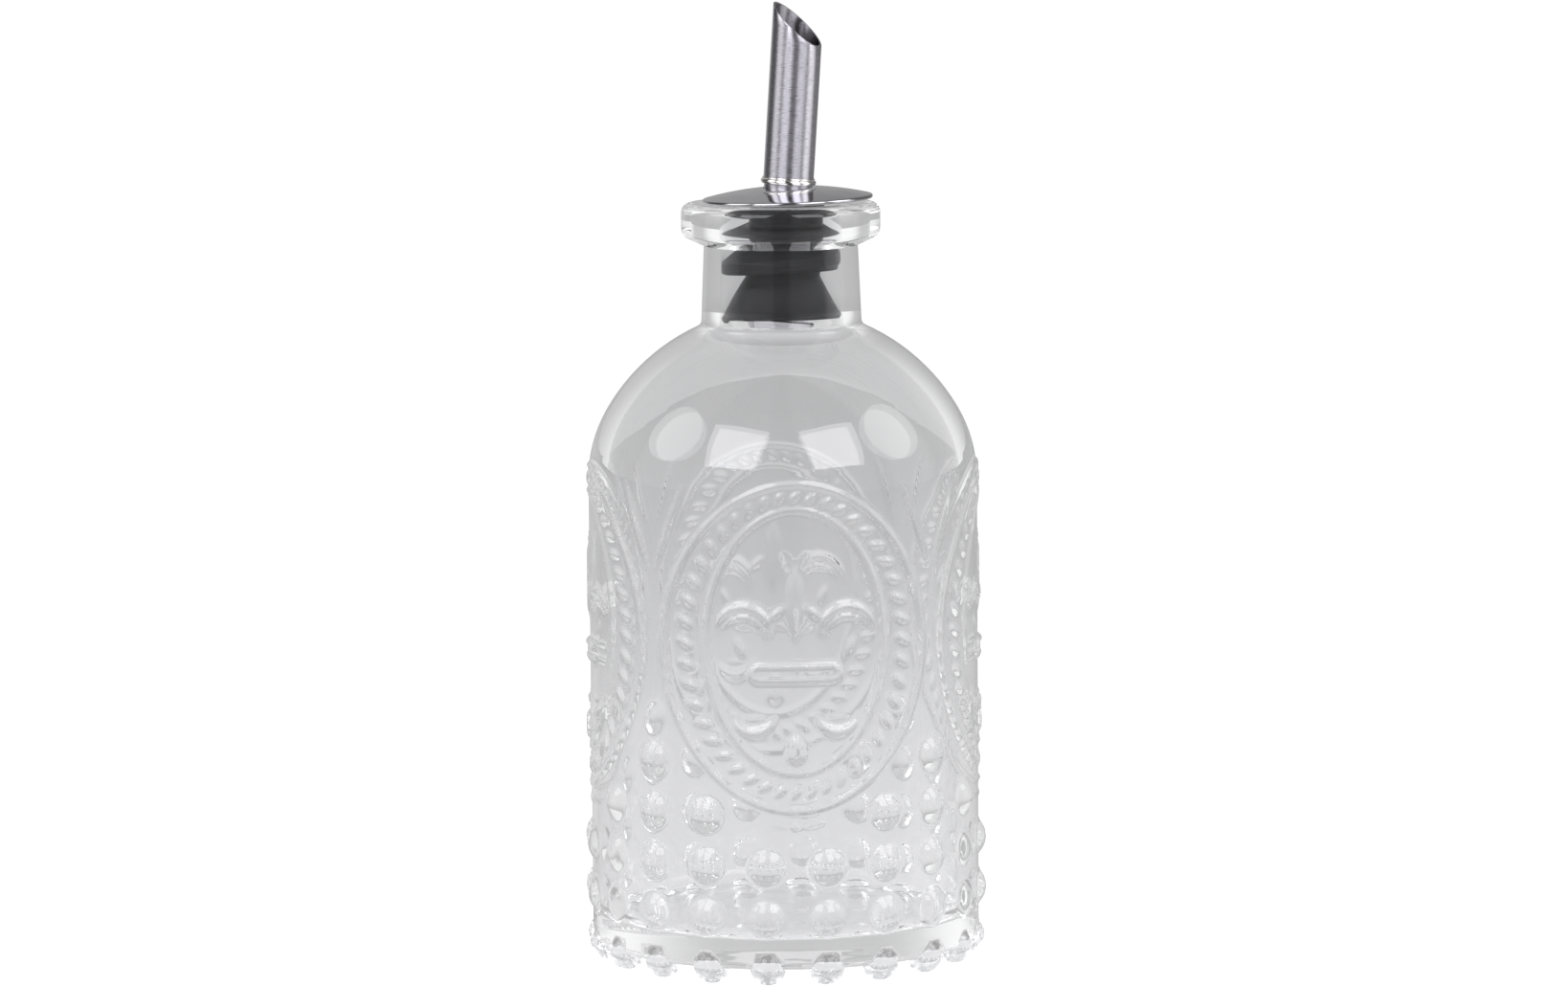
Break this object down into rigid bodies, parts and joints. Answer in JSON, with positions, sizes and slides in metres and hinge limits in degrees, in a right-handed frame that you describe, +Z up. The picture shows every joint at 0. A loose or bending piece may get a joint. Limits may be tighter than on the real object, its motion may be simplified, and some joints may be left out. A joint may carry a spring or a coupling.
{
  "type": "glass oil bottle",
  "caption": "Round pressed-glass bottle for oil or vinegar, with bead feet, lily medallions and a push-in steel pourer in a rubber stopper that turns and pulls out",
  "frame": {"origin": "on the bottle's axis, on the surface that the bead feet stand on", "axes": "+Z up along the bottle's axis; one medallion faces -Y; the pourer leans towards +X"},
  "size_m": [0.077, 0.077, 0.1832],
  "materials": {
    "clear_glass": "clear pressed glass",
    "black_rubber": "satin moulded rubber",
    "polished_steel": "mirror-polished stainless steel",
    "brushed_steel": "lengthwise brushed stainless steel"
  },
  "bodies": {
    "bottle": {"glass_bottle": "clear_glass"},
    "stopper": {"rubber_sleeve": "black_rubber", "dome_disc": "polished_steel"},
    "spout": {"spout_tube": "brushed_steel", "spout_collar": "polished_steel", "end_bush": "polished_steel"}
  },
  "joints": [
    {"name": "pourer_lift", "type": "slide", "parent": "bottle", "child": "stopper", "axis": [0, 0, 1], "range_m": [0, 0.045]},
    {"name": "spout_turn", "type": "hinge", "parent": "stopper", "child": "spout", "pos_m": [0, 0, 0.12501], "axis": [0.0654, 0, 0.9979], "continuous": true}
  ]
}
